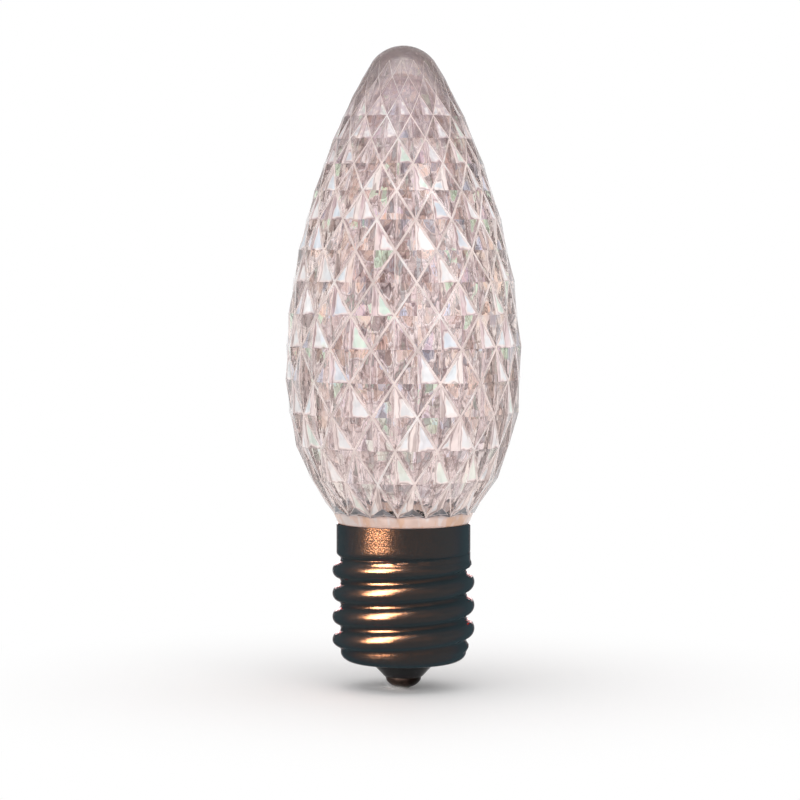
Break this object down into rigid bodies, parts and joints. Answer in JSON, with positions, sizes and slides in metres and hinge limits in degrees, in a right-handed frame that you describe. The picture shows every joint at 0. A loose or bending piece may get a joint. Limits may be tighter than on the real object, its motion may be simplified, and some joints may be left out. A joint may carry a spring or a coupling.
{
  "type": "christmas light bulb",
  "caption": "Clear faceted candle-flame light bulb with a dark screw base, a small diode board inside and a domed centre contact, for screwing into a festoon lamp holder.",
  "frame": {"origin": "middle of the flat tip of the centre contact, on the bulb's axis", "axes": "+Z along the bulb's axis, from the contact to the tip of the lens; the picture's camera looks along +Y with +X to the right"},
  "size_m": [0.0284, 0.0284, 0.0775],
  "materials": {
    "clear_plastic": "clear, polished",
    "bronze_shell": "dark bronze plating, bright",
    "contact_metal": "dull plated",
    "solder": "dull grey",
    "black_glass": "opaque, glossy",
    "board_white": "satin lacquer",
    "led_white": "matt",
    "phosphor_yellow": "satin",
    "black_moulding": "matt",
    "resistor_coat": "satin lacquer",
    "wire_sleeve": "satin"
  },
  "bodies": {
    "root": {"lens": "clear_plastic", "screw_shell": "bronze_shell", "base_insulator": "black_glass", "centre_contact": "contact_metal", "contact_solder": "solder", "circuit_board": "board_white", "led_package_1": "led_white", "led_package_2": "led_white", "led_package_3": "led_white", "led_package_4": "led_white", "led_package_5": "led_white", "led_phosphor_1": "phosphor_yellow", "led_phosphor_2": "phosphor_yellow", "led_phosphor_3": "phosphor_yellow", "led_phosphor_4": "phosphor_yellow", "led_phosphor_5": "phosphor_yellow", "bridge_rectifier": "black_moulding", "dropping_resistor": "resistor_coat", "return_wire": "wire_sleeve", "shell_solder": "solder"}
  },
  "joints": []
}
